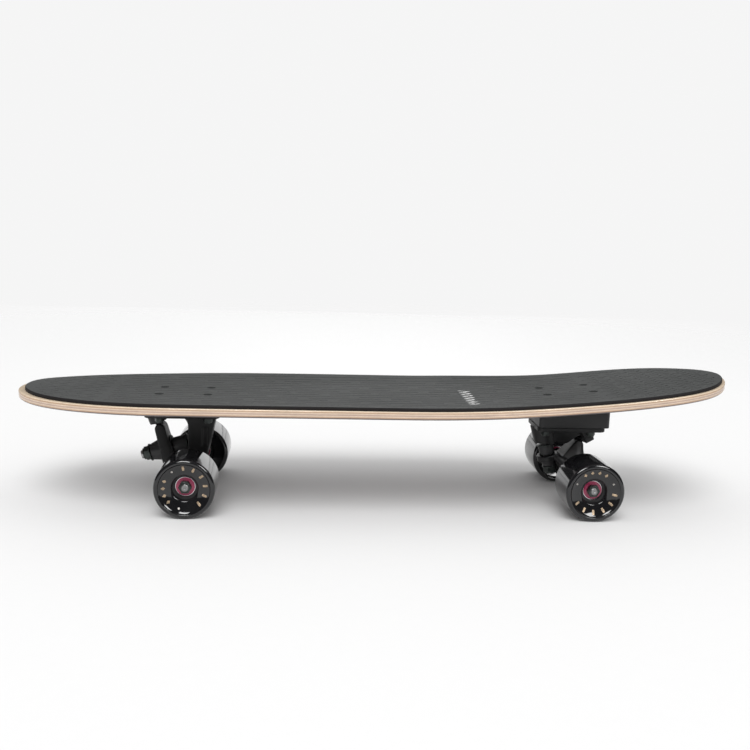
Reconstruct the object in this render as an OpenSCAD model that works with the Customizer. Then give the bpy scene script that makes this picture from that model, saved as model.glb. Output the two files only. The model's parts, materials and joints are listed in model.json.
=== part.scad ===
// Surf-style skateboard: laminated deck with a foam pad, a tall steering truck
// at the nose, a plain kingpin truck on a riser at the tail, and four wheels.
// +X points to the tail, +Y to the rider's right, +Z up. The origin is on the
// ground under the middle of the deck.

/* [Deck] */
// Length of the wooden deck
deck_length = 812; // [680:1:980]
// Greatest width of the wooden deck
deck_width = 213; // [180:1:250]
// Width of the deck where the tail begins
tail_width = 190; // [150:1:225]
// Thickness of the laminated wood
deck_thickness = 9; // [7:0.5:14]
// Rise of the deck's sides above its flat middle
concave_rise = 5.7; // [0:0.1:12]
// Half the width of the flat middle
concave_flat = 45; // [32:1:60]
// Radius of the upturned nose and tail
kick_radius = 2250; // [1200:10:4000]
// Where the nose begins to rise, measured from the nose
nose_kick = 176; // [80:1:190]
// Where the tail begins to rise, measured from the tail
tail_kick = 381; // [200:1:480]

/* [Pad] */
// Thickness of the foam traction pad
pad_thickness = 4; // [2:0.5:6]
// Bare wood beside the pad
pad_side_margin = 4.5; // [3:0.5:12]
// Bare wood in front of the pad
pad_nose_margin = 7; // [3:0.5:20]
// Bare wood behind the pad
pad_tail_margin = 3; // [3:0.5:20]

/* [Trucks] */
// Distance between the two axles
wheelbase = 444; // [380:1:560]
// Middle of the wheelbase behind the middle of the deck
wheelbase_shift = 11; // [-20:1:30]
// Length of each hanger, which is the gap between the speed washers
hanger_width = 127.5; // [110:0.5:160]
// Front truck's height from the axle to the deck
front_height = 74; // [70:1:95]
// Rear truck's height from the axle to its riser
rear_height = 56; // [54:1:68]
// Thickness of the front baseplate
front_plate = 14; // [8:0.5:16]
// Thickness of the rear baseplate
rear_plate = 5.5; // [4:0.5:8]
// Width of both baseplates
plate_width = 56; // [54:1:64]
// Diameter of the steel axles
axle_diameter = 8; // [7:0.1:8]
// Diameter of the kingpins
kingpin_diameter = 9.6; // [8:0.1:10]

/* [Mounting bolts] */
// Bolt spacing along the deck
bolt_spacing_x = 53.8; // [53:0.1:64]
// Bolt spacing across the deck
bolt_spacing_y = 41.3; // [40:0.1:43]
// Diameter of the mounting bolts
bolt_diameter = 4.8; // [4:0.1:5]

/* [Wheels] */
// Diameter of the wheels
wheel_diameter = 65; // [58:1:78]
// Width of the wheels
wheel_width = 51; // [48:0.5:62]
// Radius of the recess round each bearing
recess_radius = 14; // [13:0.5:17]
// Outer diameter of the wheel core
core_diameter = 36; // [32:0.5:44]
// Length of the wheel core
core_length = 29; // [26:0.5:34]
// Outer diameter of the ball bearings
bearing_diameter = 22; // [21:0.1:22]
// Width of the ball bearings
bearing_width = 7; // [6:0.1:7]
// Balls in each bearing
ball_count = 7; // [6:1:7]
// Length of the spacer between a wheel's bearings
spacer_length = 10; // [8:0.1:10.3]

/* [Hidden] */
$fn = 64;
mesh_fn = 32;

// Clearances
press_gap = 0.02;
running_gap = 0.06;
hole_gap = 0.2;
free_gap = 0.35;

// Levels
axle_z = wheel_diameter / 2;
front_plate_top = axle_z + front_height;
rear_plate_top = axle_z + rear_height;
under_z = front_plate_top;
axle_r = axle_diameter / 2;
kingpin_r = kingpin_diameter / 2;

// Stations along the deck
nose_x = -deck_length / 2;
tail_x = deck_length / 2;
front_x = wheelbase_shift - wheelbase / 2;
rear_x = wheelbase_shift + wheelbase / 2;
front_bolts_x = front_x - 10.6;
rear_bolts_x = rear_x - 12;

// Deck outline: the nose and the tail are superellipses, with a hip between them
outline_mid_x = 0;
nose_power = [4, 2.14];
tail_power = [4, 1.83];
hip = [80, 227];
tail_start_x = 200;
deck_stations = 48;
tall = 300;
sky = 60;

// Front truck: points are [x, z] from the axle, angles are from the vertical
front_ring = [-30.1, 20];
front_king_tilt = 74;
front_steer_tilt = -20.5;
front_plate_span = [-54.5, 30];
front_ring_r = 14;
front_ring_t = 12;
front_inner_bushing = [10, 16];
front_outer_bushing = [13.4, 9, 15];
front_strut_half = 13;
front_housing_r = 10.5;
front_mouth = 32.5;
front_nose_r = 4.8;
front_cup_r = 6.6;
front_neck_drop = 7.2;
front_cup_end = 42.5;
front_foot = [-28, 3];
front_foot_r = 6.5;
front_foot_half = 16;

// Rear truck: points are [x, z] from the axle, angles are from the vertical
rear_ring = [-28.6, 14.5];
rear_king_tilt = -14;
rear_steer_tilt = 60;
rear_plate_span = [-49, 31];
rear_ring_r = 13;
rear_ring_t = 7;
rear_upper_bushing = [9, 11.5];
rear_lower_bushing = [9, 7.5, 7];
rear_boss_r = 12.5;
rear_housing_r = 8.5;
rear_mouth = 46.5;
rear_nose_r = 4.6;
rear_cup_r = 6.2;
rear_cup_end = 56;
rear_neck_drop = 9;
rear_web = [-10, 16];
rear_web_r = 4.5;
rear_web_half = 14;
rear_arm_r = 6;
rear_arm_drop = 3;
rear_rib = [[-24, 52], [-24, 34.5], [-20.4, 33], [-8.5, 32], [9, 44.5], [9, 52]];
rear_rib_half = 7;

// Shared truck sizes
plate_corner = 7;
ring_bore_r = 8.5;
seat_gap = 0.4;
seat_reach = 14;
washer_t = 1.5;
kingpin_nut_t = 7.5;
kingpin_nut_r = 8.3;
kingpin_end = 2.5;
kingpin_head_t = 6;
kingpin_head_r = 7.6;
pocket_r = 9;
hanger_end_r = 9;
hanger_mid_r = 10.5;
hanger_waist = [18, 34];
bolt_head_r = 4.7;
bolt_head_t = 2.6;
bolt_nut_r = 5.4;
bolt_nut_t = 5.5;
bolt_end = 1.2;

// Wheel stations, measured from the middle of the board
speed_washer_t = 1;
wheel_y = hanger_width / 2 + speed_washer_t + bearing_width + spacer_length / 2;
bearing_y = spacer_length / 2 + bearing_width / 2;
washer_y = spacer_length / 2 + bearing_width;
axle_nut_t = 5.5;
axle_nut_r = 7.3;
axle_end = 1.2;
axle_half = wheel_y + washer_y + speed_washer_t + axle_nut_t + axle_end;

// Ball bearings
bearing_r = bearing_diameter / 2;
ball_r = 1.95;
ball_pitch_r = (bearing_r + axle_r) / 2;
groove_r = ball_r + running_gap;
land = 1.5;
shield_t = 0.4;
shield_inset = 0.3;

// Wheel faces: a dish between the hub's lip and the raised band by the rim
hub_lip = 2;
dish_depth = 6;
rim_band = 4.6;
rim_round = 3.2;

left = -1;
right = 1;
sides = [left, right];

// ---- Deck surface ----

function smooth(t) = t * t * (3 - 2 * t);

function unit(t) = min(1, max(0, t));

function superellipse(t, power) = pow(1 - pow(unit(t), power[0]), 1 / power[1]);

// Half the deck's width at x, for an outline inset by the given margins
function half_width(x, side, nose, tail) =
    let (wide = deck_width / 2 - side, narrow = tail_width / 2 - side)
    let (body = wide + (narrow - wide) * smooth(unit((x - hip[0]) / (hip[1] - hip[0]))))
    x < outline_mid_x
        ? wide * superellipse((outline_mid_x - x) / (outline_mid_x - nose_x - nose), nose_power)
        : body * superellipse((x - tail_start_x) / (tail_x - tail - tail_start_x), tail_power);

// Height of the upturned nose and tail above the flat middle
function kick(x) =
    pow(max(0, nose_x + nose_kick - x, x - tail_x + tail_kick), 2) / (2 * kick_radius);

function concave(y) =
    concave_rise * pow(max(0, abs(y) - concave_flat) / (deck_width / 2 - concave_flat), 2);

function under(x, y) = under_z + kick(x) + concave(y);

// Evenly spaced values from one number to another
function steps(from, to, count) = [for (i = [0:count]) from + (to - from) * i / count];

// Places along the deck where its curve is followed: the nose, then the tail
layer_xs = concat(
    steps(nose_x - 1, nose_x + nose_kick, 7),
    steps(tail_x - tail_kick, tail_x + 1, 15));

// Places across the deck: the left side rising, the flat middle, the right side
layer_ys = let (half = steps(concave_flat, deck_width / 2 + 1, 6))
    concat([for (i = [len(half) - 1:-1:0]) -half[i]], half);

// A layer that follows the deck's curve, from height low to high above its underside
module curved_layer(low, high) {
    nx = len(layer_xs);
    ny = len(layer_ys);
    count = nx * ny;
    points = [for (level = [low, high], x = layer_xs, y = layer_ys) [x, y, under(x, y) + level]];
    faces = [for (i = [0:nx - 2], j = [0:ny - 2])
        let (a = i * ny + j, b = a + ny)
        each [[a, b + 1, a + 1], [a, b, b + 1],
            [count + a, count + a + 1, count + b + 1], [count + a, count + b + 1, count + b]]];
    ends = [for (j = [0:ny - 2], i = [0, nx - 1])
        let (a = i * ny + j, quad = [a, count + a, count + a + 1, a + 1])
        i > 0 ? quad : [quad[3], quad[2], quad[1], quad[0]]];
    edges = [for (i = [0:nx - 2], j = [0, ny - 1])
        let (a = i * ny + j, b = a + ny, quad = [a, b, count + b, count + a])
        j > 0 ? quad : [quad[3], quad[2], quad[1], quad[0]]];
    polyhedron(points, concat(faces, ends, edges), convexity = 6);
}

// Outline seen from above, inset by margins beside, before and behind it
module outline(side, nose, tail) {
    low = nose_x + nose;
    high = tail_x - tail;
    half = [for (i = [0:deck_stations])
        let (x = (low + high) / 2 - (high - low) / 2 * cos(180 * i / deck_stations))
        [x, half_width(x, side, nose, tail)]];
    polygon(concat(half, [for (i = [deck_stations - 1:-1:1]) [half[i][0], -half[i][1]]]));
}

// ---- Shared helpers ----

module rounded_plate(size, r) {
    for (shift = [[r, 0], [0, r]])
        square([size[0] - 2 * shift[0], size[1] - 2 * shift[1]], center = true);
    for (x = [-1, 1], y = [-1, 1])
        translate([x * (size[0] / 2 - r), y * (size[1] / 2 - r)])
            circle(r);
}

module at_bolts(x) {
    for (i = [-1, 1], j = [-1, 1])
        translate([x + i * bolt_spacing_x / 2, j * bolt_spacing_y / 2, 0])
            children();
}

// Places children on a truck's axis: local +Z runs along the axis
module on_axis(axle_x, point, tilt) {
    translate([axle_x + point[0], 0, axle_z + point[1]])
        rotate([0, tilt, 0])
            children();
}

module on_front_king() {
    on_axis(front_x, front_ring, front_king_tilt) children();
}

module on_front_steer() {
    on_axis(front_x, front_ring, front_steer_tilt) children();
}

module on_rear_king() {
    on_axis(rear_x, rear_ring, rear_king_tilt) children();
}

module on_rear_steer() {
    on_axis(rear_x, rear_ring, rear_steer_tilt) children();
}

// Places children at a wheel: local +Z points outwards along the axle
module at_wheel(axle_x, side) {
    translate([axle_x, side * wheel_y, axle_z])
        rotate([-90 * side, 0, 0])
            children();
}

// A bar across the truck at a point [x, z] from the axle
module cross_bar(axle_x, point, r, half, fn = 64) {
    translate([axle_x + point[0], 0, axle_z + point[1]])
        rotate([90, 0, 0])
            cylinder(r = r, h = 2 * half, center = true, $fn = fn);
}

module tube(outer, inner, low, high) {
    translate([0, 0, low])
        difference() {
            cylinder(r = outer, h = high - low);
            translate([0, 0, -1])
                cylinder(r = inner, h = high - low + 2);
        }
}

// A six-sided nut with a rounded collar
module nut(r, bore, low, high) {
    translate([0, 0, low])
        difference() {
            union() {
                cylinder(r = r, h = (high - low) * 0.75, $fn = 6);
                cylinder(r = r * 0.8, h = high - low);
            }
            translate([0, 0, -1])
                cylinder(r = bore, h = high - low + 2);
        }
}

// A round pivot tip with a ball end
module pivot_tip(r, low, centre) {
    translate([0, 0, low])
        cylinder(r = r, h = centre - low);
    translate([0, 0, centre])
        sphere(r);
}

// The plastic cup that holds a pivot tip
module pivot_cup(r, tip_r, mouth, end, centre) {
    difference() {
        translate([0, 0, mouth])
            cylinder(r = r, h = end - mouth);
        pivot_tip(tip_r + running_gap, mouth - 1, centre);
    }
}

// ---- Board ----

module deck() {
    color("burlywood")
        difference() {
            intersection() {
                curved_layer(0, deck_thickness);
                linear_extrude(tall)
                    outline(0, 0, 0);
            }
            bolt_holes();
        }
}

// Holes for the mounting bolts, with countersinks at the wood's top
module bolt_holes() {
    thin = bolt_diameter / 2 + hole_gap;
    wide = bolt_head_r + hole_gap;
    for (x = [front_bolts_x, rear_bolts_x])
        at_bolts(x)
            rotate_extrude()
                polygon([[0, 0], [thin, 0], [thin, head_top(x) - bolt_head_t],
                    [wide, head_top(x)], [wide, tall], [0, tall]]);
}

// Top of a bolt's head: flush with the lowest wood round it
function head_top(x) =
    under(x - bolt_spacing_x / 2, 0) + deck_thickness - 0.6;

module deck_pad() {
    color("dimgray")
        difference() {
            intersection() {
                curved_layer(deck_thickness, deck_thickness + pad_thickness);
                linear_extrude(tall)
                    outline(pad_side_margin, pad_nose_margin, pad_tail_margin);
            }
            bolt_holes();
        }
}

module mount_bolts(x, low) {
    color("black")
        at_bolts(x)
            difference() {
                union() {
                    translate([0, 0, low])
                        cylinder(r = bolt_diameter / 2, h = head_top(x) - bolt_head_t - low);
                    translate([0, 0, head_top(x) - bolt_head_t])
                        cylinder(r1 = bolt_diameter / 2, r2 = bolt_head_r, h = bolt_head_t);
                }
                translate([0, 0, head_top(x) - bolt_head_t * 0.8])
                    cylinder(r = bolt_head_r * 0.4, h = bolt_head_t, $fn = 6);
            }
}

module mount_nuts(x, top) {
    color("dimgray")
        at_bolts(x)
            translate([0, 0, top])
                mirror([0, 0, 1])
                    nut(bolt_nut_r, bolt_diameter / 2 + press_gap, 0, bolt_nut_t);
}

module front_mount_bolts() {
    mount_bolts(front_bolts_x, front_plate_top - front_plate - bolt_nut_t - bolt_end);
}

module front_mount_nuts() {
    mount_nuts(front_bolts_x, front_plate_top - front_plate);
}

module rear_mount_bolts() {
    mount_bolts(rear_bolts_x, rear_plate_top - rear_plate - bolt_nut_t - bolt_end);
}

module rear_mount_nuts() {
    mount_nuts(rear_bolts_x, rear_plate_top - rear_plate);
}

// Wedge between the rear truck and the rising tail
module rear_riser() {
    span = [rear_plate_span[0] + 1, rear_plate_span[1] + 4];
    color("black")
        difference() {
            translate([rear_x + (span[0] + span[1]) / 2, 0, rear_plate_top])
                linear_extrude(sky)
                    rounded_plate([span[1] - span[0], plate_width + 3], 5);
            curved_layer(0, 2 * sky);
            at_bolts(rear_bolts_x)
                cylinder(r = bolt_diameter / 2 + hole_gap, h = 300);
        }
}

// ---- Front truck ----

module front_baseplate() {
    mid = (front_plate_span[0] + front_plate_span[1]) / 2;
    low = front_plate_top - front_plate;
    color("#1c1c1e")
        difference() {
            union() {
                translate([front_x + mid, 0, low])
                    linear_extrude(front_plate)
                        rounded_plate([front_plate_span[1] - front_plate_span[0], plate_width], plate_corner);
                intersection() {
                    translate([front_x - 80, -50, 0])
                        cube([160, 100, low + 1]);
                    union() {
                        on_front_steer()
                            translate([0, 0, front_mouth])
                                cylinder(r = front_housing_r, h = 60);
                        front_strut();
                    }
                }
            }
            at_bolts(front_bolts_x)
                cylinder(r = bolt_diameter / 2 + hole_gap, h = 300);
            on_front_steer()
                translate([0, 0, front_mouth - 1])
                    cylinder(r = front_cup_r + press_gap, h = front_cup_end - front_mouth + 1);
            on_front_king() {
                cylinder(r = kingpin_r + hole_gap, h = 80);
                translate([0, 0, front_head_at()])
                    cylinder(r = pocket_r, h = 40);
            }
            front_strut_windows();
        }
}

// Distance along the front kingpin from the hanger's ring to the strut and to the head
function front_strut_at() = front_ring_t / 2 + front_inner_bushing[1] + washer_t;
function front_head_at() = front_strut_at() + 14;

// The upright behind the hanger that holds the front kingpin
module front_strut() {
    foot = axle_z + 14.5;
    top = front_plate_top;
    difference() {
        translate([front_x, 0, 0])
            rotate([90, 0, 0])
                linear_extrude(2 * front_strut_half, center = true)
                    polygon([[-50, foot], [15, foot], [16, foot + 6], [25, top - front_plate],
                        [25, top], [-50, top]]);
        on_front_king()
            translate([-100, -50, front_strut_at() - 200])
                cube([200, 100, 200]);
        // Arched gap over the bushings
        translate([front_x - 19, 0, top - front_plate - 12])
            rotate([90, 0, 0])
                cylinder(r = 12, h = 60, center = true);
        translate([front_x - 60, -30, foot - 1])
            cube([41, 60, top - front_plate - foot + 1]);
        translate([front_x - 30, -30, foot - 1])
            cube([23, 60, top - front_plate - foot - 11]);
    }
}

// Shallow recesses that lighten the strut's two sides
module front_strut_windows() {
    for (side = sides)
        translate([front_x + 12, side * front_strut_half, axle_z + 36])
            cube([6, 4, 23], center = true);
}

module front_pivot_cup() {
    color("#2a2a2a")
        on_front_steer()
            pivot_cup(front_cup_r, front_nose_r, front_mouth - 0.8, front_cup_end, front_mouth + 2.5);
}

module front_kingpin() {
    color("silver")
        on_front_king() {
            tip = -front_ring_t / 2 - front_outer_bushing[2] - washer_t - kingpin_nut_t - kingpin_end;
            translate([0, 0, tip])
                cylinder(r = kingpin_r, h = front_head_at() - tip);
            translate([0, 0, front_head_at()])
                cylinder(r = kingpin_head_r, h = kingpin_head_t, $fn = 6);
        }
}

module front_kingpin_nut() {
    color("#303030")
        on_front_king()
            mirror([0, 0, 1])
                nut(kingpin_nut_r, kingpin_r + press_gap,
                    front_ring_t / 2 + front_outer_bushing[2] + washer_t,
                    front_ring_t / 2 + front_outer_bushing[2] + washer_t + kingpin_nut_t);
}

module front_bushing_washers() {
    color("gray")
        on_front_king() {
            outer = front_ring_t / 2 + front_outer_bushing[2];
            tube(front_outer_bushing[1] + 1, kingpin_r + hole_gap, -outer - washer_t, -outer);
            tube(front_inner_bushing[0] + 1, kingpin_r + hole_gap, front_strut_at() - washer_t, front_strut_at());
        }
}

module front_outer_bushing() {
    color("#3c3c3e")
        on_front_king()
            difference() {
                translate([0, 0, -front_ring_t / 2 - front_outer_bushing[2]])
                    cylinder(r1 = front_outer_bushing[1], r2 = front_outer_bushing[0], h = front_outer_bushing[2]);
                translate([0, 0, -60])
                    cylinder(r = kingpin_r + hole_gap, h = 60);
            }
}

module front_inner_bushing() {
    color("#2c2c2e")
        on_front_king()
            tube(front_inner_bushing[0], kingpin_r + hole_gap, front_ring_t / 2,
                front_ring_t / 2 + front_inner_bushing[1]);
}

// The axle housing shared by both hangers
module axle_housing(axle_x) {
    for (side = sides)
        translate([axle_x, 0, axle_z])
            rotate([-90 * side, 0, 0]) {
                cylinder(r = hanger_mid_r, h = hanger_waist[0]);
                translate([0, 0, hanger_waist[0]])
                    cylinder(r1 = hanger_mid_r, r2 = hanger_end_r, h = hanger_waist[1] - hanger_waist[0]);
                translate([0, 0, hanger_waist[1]])
                    cylinder(r = hanger_end_r, h = hanger_width / 2 - hanger_waist[1]);
            }
}

// Room for the two bushings that bear on a hanger's ring
module bushing_seats(ring_t, lower_r, upper_r) {
    translate([0, 0, -ring_t / 2 - seat_reach])
        cylinder(r = lower_r + seat_gap, h = seat_reach);
    translate([0, 0, ring_t / 2])
        cylinder(r = upper_r + seat_gap, h = seat_reach);
}

module axle_bore(axle_x) {
    cross_bar(axle_x, [0, 0], axle_r + press_gap, hanger_width);
}

module front_hanger() {
    color("#1a1a1c")
        difference() {
            union() {
                axle_housing(front_x);
                // Neck from the pivot down past the ring
                hull() {
                    on_front_steer()
                        translate([0, 0, front_mouth - front_neck_drop])
                            rotate([90, 0, 0])
                                cylinder(r = 6, h = 22, center = true, $fn = mesh_fn);
                    cross_bar(front_x, front_foot, front_foot_r, front_foot_half, mesh_fn);
                }
                // Foot of the neck, running back to the axle
                hull() {
                    cross_bar(front_x, front_foot, front_foot_r, front_foot_half, mesh_fn);
                    cross_bar(front_x, [0, -2], 8, 22, mesh_fn);
                }
                on_front_king()
                    cylinder(r = front_ring_r, h = front_ring_t, center = true);
                on_front_steer()
                    pivot_tip(front_nose_r, front_mouth - front_neck_drop, front_mouth + 2.5);
            }
            on_front_king() {
                cylinder(r = ring_bore_r, h = 80, center = true);
                bushing_seats(front_ring_t, front_outer_bushing[0], front_inner_bushing[0]);
            }
            axle_bore(front_x);
        }
}

// ---- Rear truck ----

module rear_baseplate() {
    mid = (rear_plate_span[0] + rear_plate_span[1]) / 2;
    color("#1c1c1e")
        difference() {
            union() {
                translate([rear_x + mid, 0, rear_plate_top - rear_plate])
                    linear_extrude(rear_plate)
                        rounded_plate([rear_plate_span[1] - rear_plate_span[0], plate_width], plate_corner);
                intersection() {
                    translate([rear_x - 80, -50, axle_z + 32])
                        cube([160, 100, rear_height - 32 - rear_plate + 1]);
                    union() {
                        on_rear_king()
                            translate([0, 0, rear_boss_at()])
                                cylinder(r1 = rear_boss_r, r2 = rear_boss_r + 1.5, h = 40);
                        rear_pivot_housing();
                        // Rib between the kingpin boss and the pivot housing
                        translate([rear_x, 0, axle_z])
                            rotate([90, 0, 0])
                                linear_extrude(2 * rear_rib_half, center = true)
                                    polygon(rear_rib);
                    }
                }
            }
            at_bolts(rear_bolts_x)
                cylinder(r = bolt_diameter / 2 + hole_gap, h = 300);
            on_rear_king() {
                cylinder(r = kingpin_r + hole_gap, h = 80);
                translate([0, 0, rear_head_at()])
                    cylinder(r = pocket_r, h = 40);
            }
            on_rear_steer()
                translate([0, 0, rear_mouth - 1])
                    cylinder(r = rear_cup_r + press_gap, h = rear_cup_end - rear_mouth + 1);
        }
}

// Distance along the rear kingpin from the hanger's ring to the boss and to the head
function rear_boss_at() = rear_ring_t / 2 + rear_upper_bushing[1] + washer_t;
function rear_head_at() = (rear_height - rear_ring[1]) / cos(rear_king_tilt) - kingpin_head_t - 3;

module rear_pivot_housing() {
    on_rear_steer()
        translate([0, 0, rear_mouth])
            cylinder(r = rear_housing_r, h = rear_cup_end - rear_mouth + 2);
    // Web that hangs the housing from the plate
    intersection() {
        on_rear_steer()
            translate([-60, -rear_housing_r, rear_mouth])
                cube([60, 2 * rear_housing_r, rear_cup_end - rear_mouth + 2]);
        translate([rear_x - 20, -20, axle_z])
            cube([rear_plate_span[1] + 20, 40, 90]);
    }
}

module rear_pivot_cup() {
    color("#2a2a2a")
        on_rear_steer()
            pivot_cup(rear_cup_r, rear_nose_r, rear_mouth - 0.8, rear_cup_end, rear_mouth + 3);
}

module rear_kingpin() {
    color("silver")
        on_rear_king() {
            tip = -rear_ring_t / 2 - rear_lower_bushing[2] - washer_t - kingpin_nut_t - kingpin_end;
            translate([0, 0, tip])
                cylinder(r = kingpin_r, h = rear_head_at() - tip);
            translate([0, 0, rear_head_at()])
                cylinder(r = kingpin_head_r, h = kingpin_head_t, $fn = 6);
        }
}

module rear_kingpin_nut() {
    color("#303030")
        on_rear_king()
            mirror([0, 0, 1])
                nut(kingpin_nut_r, kingpin_r + press_gap,
                    rear_ring_t / 2 + rear_lower_bushing[2] + washer_t,
                    rear_ring_t / 2 + rear_lower_bushing[2] + washer_t + kingpin_nut_t);
}

module rear_bushing_washers() {
    color("gray")
        on_rear_king() {
            lower = rear_ring_t / 2 + rear_lower_bushing[2];
            tube(rear_lower_bushing[1] + 1, kingpin_r + hole_gap, -lower - washer_t, -lower);
            tube(rear_upper_bushing[0] + 1.5, kingpin_r + hole_gap, rear_boss_at() - washer_t, rear_boss_at());
        }
}

module rear_upper_bushing() {
    color("#2c2c2e")
        on_rear_king()
            tube(rear_upper_bushing[0], kingpin_r + hole_gap, rear_ring_t / 2,
                rear_ring_t / 2 + rear_upper_bushing[1]);
}

module rear_lower_bushing() {
    color("#2c2c2e")
        on_rear_king()
            difference() {
                translate([0, 0, -rear_ring_t / 2 - rear_lower_bushing[2]])
                    cylinder(r1 = rear_lower_bushing[1], r2 = rear_lower_bushing[0], h = rear_lower_bushing[2]);
                translate([0, 0, -60])
                    cylinder(r = kingpin_r + hole_gap, h = 60);
            }
}

module rear_hanger() {
    color("#1a1a1c")
        difference() {
            union() {
                axle_housing(rear_x);
                // Web from the ring to the axle
                hull() {
                    on_rear_king()
                        translate([rear_ring_r - 4, 0, 0])
                            rotate([90, 0, 0])
                                cylinder(r = rear_ring_t / 2, h = 24, center = true, $fn = mesh_fn);
                    cross_bar(rear_x, [0, 0], hanger_mid_r - 0.5, 24, mesh_fn);
                }
                // Arm from the axle up to the pivot
                hull() {
                    cross_bar(rear_x, [0, 0], hanger_mid_r - 0.5, 20, mesh_fn);
                    cross_bar(rear_x, rear_web, rear_web_r, rear_web_half, mesh_fn);
                    on_rear_steer()
                        translate([rear_arm_drop, 0, rear_mouth - rear_neck_drop])
                            rotate([90, 0, 0])
                                cylinder(r = rear_arm_r, h = 18, center = true, $fn = mesh_fn);
                }
                on_rear_king()
                    cylinder(r = rear_ring_r, h = rear_ring_t, center = true);
                on_rear_steer()
                    pivot_tip(rear_nose_r, rear_mouth - rear_neck_drop, rear_mouth + 3);
            }
            on_rear_king() {
                cylinder(r = ring_bore_r, h = rear_ring_t + 2, center = true);
                bushing_seats(rear_ring_t, rear_lower_bushing[0], rear_upper_bushing[0]);
            }
            axle_bore(rear_x);
        }
}

// ---- Axle hardware, the same on both trucks ----

module axle(axle_x) {
    color("silver")
        translate([axle_x, 0, axle_z])
            rotate([90, 0, 0])
                cylinder(r = axle_r, h = 2 * axle_half, center = true);
}

module inner_races(axle_x) {
    color("silver")
        for (side = sides, at = [-bearing_y, bearing_y])
            at_wheel(axle_x, side)
                translate([0, 0, at])
                    difference() {
                        tube(ball_pitch_r - land, axle_r + press_gap, -bearing_width / 2, bearing_width / 2);
                        groove();
                    }
}

module groove() {
    rotate_extrude()
        translate([ball_pitch_r, 0])
            circle(groove_r, $fn = mesh_fn);
}

module bearing_spacers(axle_x) {
    color("lightgray")
        for (side = sides)
            at_wheel(axle_x, side)
                tube(ball_pitch_r - land, axle_r + press_gap, -spacer_length / 2, spacer_length / 2);
}

module speed_washers(axle_x) {
    color("lightgray")
        for (side = sides)
            at_wheel(axle_x, side) {
                tube(ball_pitch_r - land + 0.3, axle_r + press_gap, washer_y, washer_y + speed_washer_t);
                tube(ball_pitch_r - land + 0.3, axle_r + press_gap, -washer_y - speed_washer_t, -washer_y);
            }
}

module axle_nuts(axle_x) {
    color("#3a403c")
        for (side = sides)
            at_wheel(axle_x, side)
                nut(axle_nut_r, axle_r + press_gap, washer_y + speed_washer_t,
                    washer_y + speed_washer_t + axle_nut_t);
}

// ---- Wheels ----

function arc(centre, r, from, to, steps) =
    [for (i = [0:steps]) let (a = from + (to - from) * i / steps)
        centre + r * [cos(a), sin(a)]];

// Half of the wheel's profile, from the core out over the dished face to the tread
function wheel_profile() =
    let (r = wheel_diameter / 2, half = wheel_width / 2)
    concat(
        [[core_diameter / 2, 0], [core_diameter / 2, core_length / 2], [recess_radius, core_length / 2]],
        arc([recess_radius + hub_lip, half - dish_depth - hub_lip], hub_lip, 180, 112, 4),
        [[r - rim_band - 1, half - 1.6]],
        arc([r - rim_band + 0.6, half - 0.9], 0.9, 150, 90, 3),
        arc([r - rim_round, half - rim_round], rim_round, 90, 0, 6),
        [[r, 0]]);

module wheel(axle_x, side) {
    profile = wheel_profile();
    color("#151515")
        at_wheel(axle_x, side)
            rotate_extrude($fn = 96)
                polygon(concat(profile, [for (i = [len(profile) - 2:-1:1]) [profile[i][0], -profile[i][1]]]));
}

module core(axle_x, side) {
    seat = spacer_length / 2;
    color("#202022")
        at_wheel(axle_x, side)
            difference() {
                cylinder(r = core_diameter / 2 - press_gap, h = core_length, center = true);
                cylinder(r = bearing_r - 1.5, h = core_length + 2, center = true);
                for (end = [0, 1])
                    mirror([0, 0, end])
                        translate([0, 0, seat])
                            cylinder(r = bearing_r + press_gap, h = core_length);
            }
}

module outer_races(axle_x, side) {
    color("silver")
        at_wheel(axle_x, side)
            for (at = [-bearing_y, bearing_y])
                translate([0, 0, at])
                    difference() {
                        tube(bearing_r, ball_pitch_r + land, -bearing_width / 2, bearing_width / 2);
                        groove();
                    }
}

module shields(axle_x, side) {
    low = bearing_width / 2 - shield_inset - shield_t;
    color("crimson")
        at_wheel(axle_x, side)
            for (at = [-bearing_y, bearing_y], face = [0, 1])
                translate([0, 0, at])
                    mirror([0, 0, face])
                        tube(ball_pitch_r + land - press_gap, ball_pitch_r - land + free_gap, low, low + shield_t);
}

module balls(axle_x, side) {
    color("white")
        at_wheel(axle_x, side)
            for (at = [-bearing_y, bearing_y], i = [0:ball_count - 1])
                translate([0, 0, at])
                    rotate([0, 0, 360 * i / ball_count])
                        translate([ball_pitch_r, 0, 0])
                            sphere(ball_r, $fn = mesh_fn);
}

deck();
deck_pad();
front_mount_bolts();
front_mount_nuts();
rear_mount_bolts();
rear_mount_nuts();
rear_riser();
front_baseplate();
front_pivot_cup();
front_kingpin();
front_kingpin_nut();
front_bushing_washers();
front_outer_bushing();
front_inner_bushing();
front_hanger();
axle(front_x);  // front_axle
inner_races(front_x);  // front_bearing_inner_races
bearing_spacers(front_x);  // front_bearing_spacers
speed_washers(front_x);  // front_speed_washers
axle_nuts(front_x);  // front_axle_nuts
rear_baseplate();
rear_pivot_cup();
rear_kingpin();
rear_kingpin_nut();
rear_bushing_washers();
rear_upper_bushing();
rear_lower_bushing();
rear_hanger();
axle(rear_x);  // rear_axle
inner_races(rear_x);  // rear_bearing_inner_races
bearing_spacers(rear_x);  // rear_bearing_spacers
speed_washers(rear_x);  // rear_speed_washers
axle_nuts(rear_x);  // rear_axle_nuts
wheel(front_x, left);  // front_left_wheel
core(front_x, left);  // front_left_core
outer_races(front_x, left);  // front_left_outer_races
shields(front_x, left);  // front_left_shields
balls(front_x, left);  // front_left_balls
wheel(front_x, right);  // front_right_wheel
core(front_x, right);  // front_right_core
outer_races(front_x, right);  // front_right_outer_races
shields(front_x, right);  // front_right_shields
balls(front_x, right);  // front_right_balls
wheel(rear_x, left);  // rear_left_wheel
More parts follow.
